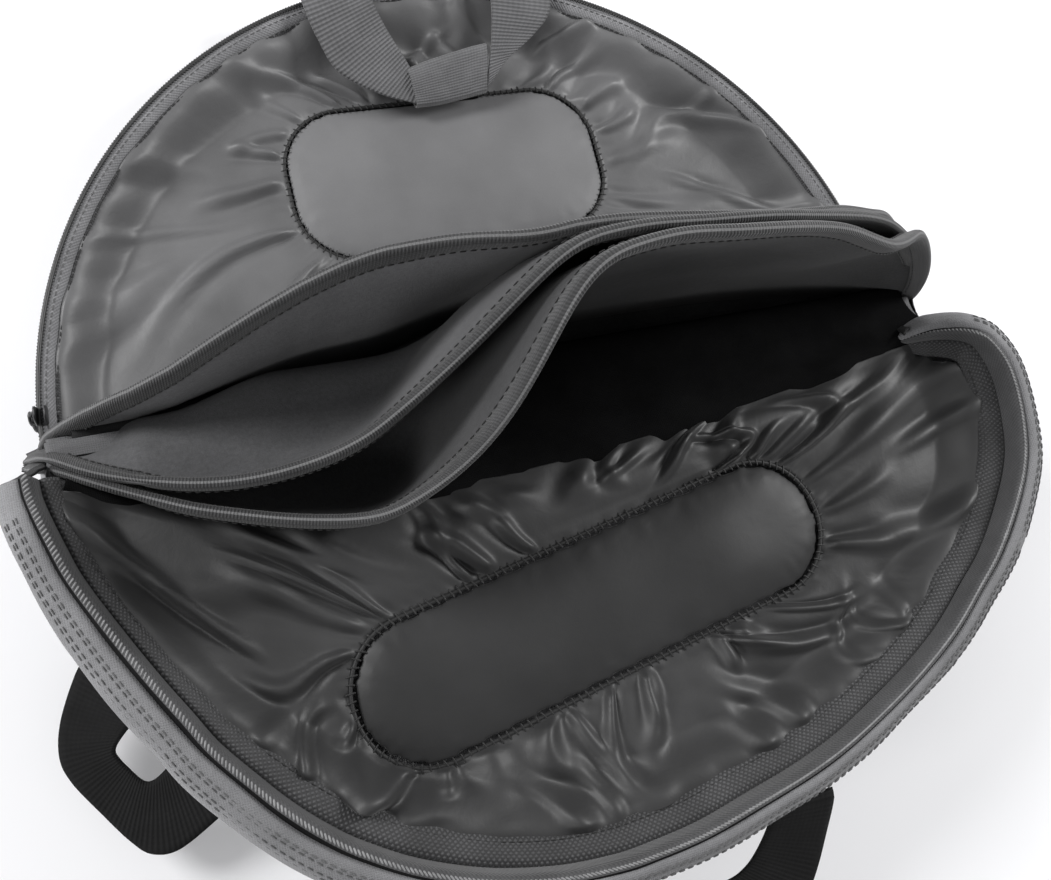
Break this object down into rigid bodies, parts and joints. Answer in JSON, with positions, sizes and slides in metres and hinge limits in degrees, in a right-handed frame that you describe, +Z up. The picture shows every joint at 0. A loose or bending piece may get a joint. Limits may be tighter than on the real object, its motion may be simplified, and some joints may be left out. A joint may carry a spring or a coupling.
{
  "type": "padded instrument bag",
  "caption": "Round padded zip bag for flat round instruments, opened out, with a fold-over flap, bound dividers, stitched pads and webbing handles.",
  "frame": {"origin": "centre of the back panel's outer face, on the floor", "axes": "+Z up from the floor, +X along the fold of the flap to the right, +Y towards the top of the bag where the back handle is sewn"},
  "size_m": [0.6201, 0.6502, 0.2965],
  "materials": {
    "outer_nylon": "plain-woven nylon with a dull coating",
    "foam": "closed-cell foam",
    "lining": "thin satin nylon, glossy",
    "piping": "woven tape over cord",
    "binding": "ribbed grosgrain tape",
    "mesh_binding": "open woven edge tape",
    "zip_tape": "herringbone zip tape",
    "zip_coil": "moulded nylon coil",
    "divider_felt": "napped felt-like cloth over foam",
    "grey_webbing": "ribbed polypropylene webbing",
    "black_webbing": "ribbed polypropylene webbing",
    "slider_metal": "black-painted zinc",
    "pull_cord": "doubled cord pull"
  },
  "bodies": {
    "base": {"back_outer_panel": "outer_nylon", "back_wall_cover": "outer_nylon", "lower_wall_cover": "outer_nylon", "lower_front_panel": "outer_nylon", "back_foam": "foam", "back_wall_foam": "foam", "lower_wall_foam": "foam", "lower_front_foam": "foam", "back_lining": "lining", "back_pad": "lining", "lower_front_lining": "lining", "back_piping": "piping", "lower_front_piping": "piping", "back_rim_binding": "binding", "fold_tape": "binding", "back_zip_tape": "zip_tape", "back_zip_coil": "zip_coil", "zip_end_stops": "zip_coil", "divider_rear_sewn_part": "divider_felt", "divider_middle_sewn_part": "divider_felt", "divider_front_sewn_part": "divider_felt", "back_handle_tabs": "grey_webbing", "side_loop_tabs": "black_webbing"},
    "flap": {"flap_outer_panel": "outer_nylon", "flap_wall_cover": "outer_nylon", "flap_foam": "foam", "flap_wall_foam": "foam", "flap_lining": "lining", "flap_pad": "lining", "flap_piping": "piping", "flap_rim_binding": "mesh_binding", "flap_zip_tape": "zip_tape", "flap_zip_coil": "zip_coil", "flap_handle_tabs": "black_webbing"},
    "divider_rear": {"divider_rear_panel": "divider_felt", "divider_rear_binding": "binding"},
    "divider_middle": {"divider_middle_panel": "divider_felt", "divider_middle_binding": "binding"},
    "divider_front": {"divider_front_panel": "divider_felt", "divider_front_binding": "binding"},
    "back_handle": {"back_handle_webbing": "grey_webbing", "back_handle_grip": "grey_webbing"},
    "flap_handle": {"flap_handle_webbing": "black_webbing"},
    "side_loop": {"side_loop_webbing": "black_webbing"},
    "slider_left": {"zip_slider_left": "slider_metal"},
    "slider_right": {"zip_slider_right": "slider_metal"},
    "pull_left": {"zip_pull_left": "pull_cord"},
    "pull_right": {"zip_pull_right": "pull_cord"}
  },
  "joints": [
    {"name": "flap_fold", "type": "hinge", "parent": "base", "child": "flap", "pos_m": [0, 0, 0.104], "axis": [-1, 0, 0], "range_deg": [0, 180]},
    {"name": "divider_rear_fold", "type": "hinge", "parent": "base", "child": "divider_rear", "pos_m": [0, 0.048, 0.024], "axis": [-1, 0, 0], "range_deg": [0, 94]},
    {"name": "divider_middle_fold", "type": "hinge", "parent": "base", "child": "divider_middle", "pos_m": [0, 0.038, 0.039], "axis": [-1, 0, 0], "range_deg": [0, 101]},
    {"name": "divider_front_fold", "type": "hinge", "parent": "base", "child": "divider_front", "pos_m": [0, 0.028, 0.054], "axis": [-1, 0, 0], "range_deg": [0, 108]},
    {"name": "back_handle_swing", "type": "hinge", "parent": "base", "child": "back_handle", "pos_m": [0, 0.2935, 0.046], "axis": [-1, 0, 0], "range_deg": [0, 202.5]},
    {"name": "flap_handle_swing", "type": "hinge", "parent": "flap", "child": "flap_handle", "pos_m": [0, -0.2995, 0.12], "axis": [-1, 0, 0], "range_deg": [0, 60]},
    {"name": "side_loop_swing", "type": "hinge", "parent": "base", "child": "side_loop", "pos_m": [-0.25517, -0.16889, 0.045], "axis": [-0.5519, 0.8339, 0], "range_deg": [0, 70]},
    {"name": "zip_slider_left_run", "type": "hinge", "parent": "base", "child": "slider_left", "pos_m": [0, 0, 0.05], "axis": [0, 0, -1], "range_deg": [0, 62]},
    {"name": "zip_pull_left_swing", "type": "hinge", "parent": "slider_left", "child": "pull_left", "pos_m": [-0.29505, 0.02374, 0.046], "axis": [0.0802, 0.9968, 0], "range_deg": [0, 140]},
    {"name": "zip_slider_right_run", "type": "hinge", "parent": "base", "child": "slider_right", "pos_m": [0, 0, 0.05], "axis": [0, 0, 1], "range_deg": [0, 62]},
    {"name": "zip_pull_right_swing", "type": "hinge", "parent": "slider_right", "child": "pull_right", "pos_m": [0.29505, 0.02374, 0.046], "axis": [0.0802, -0.9968, 0], "range_deg": [0, 140]}
  ],
  "couplings": [
    {"joint": "divider_rear_fold", "follows": "flap_fold", "ratio": 0.52222},
    {"joint": "divider_middle_fold", "follows": "flap_fold", "ratio": 0.56111},
    {"joint": "divider_front_fold", "follows": "flap_fold", "ratio": 0.6},
    {"joint": "back_handle_swing", "follows": "flap_fold", "ratio": 1.125}
  ]
}
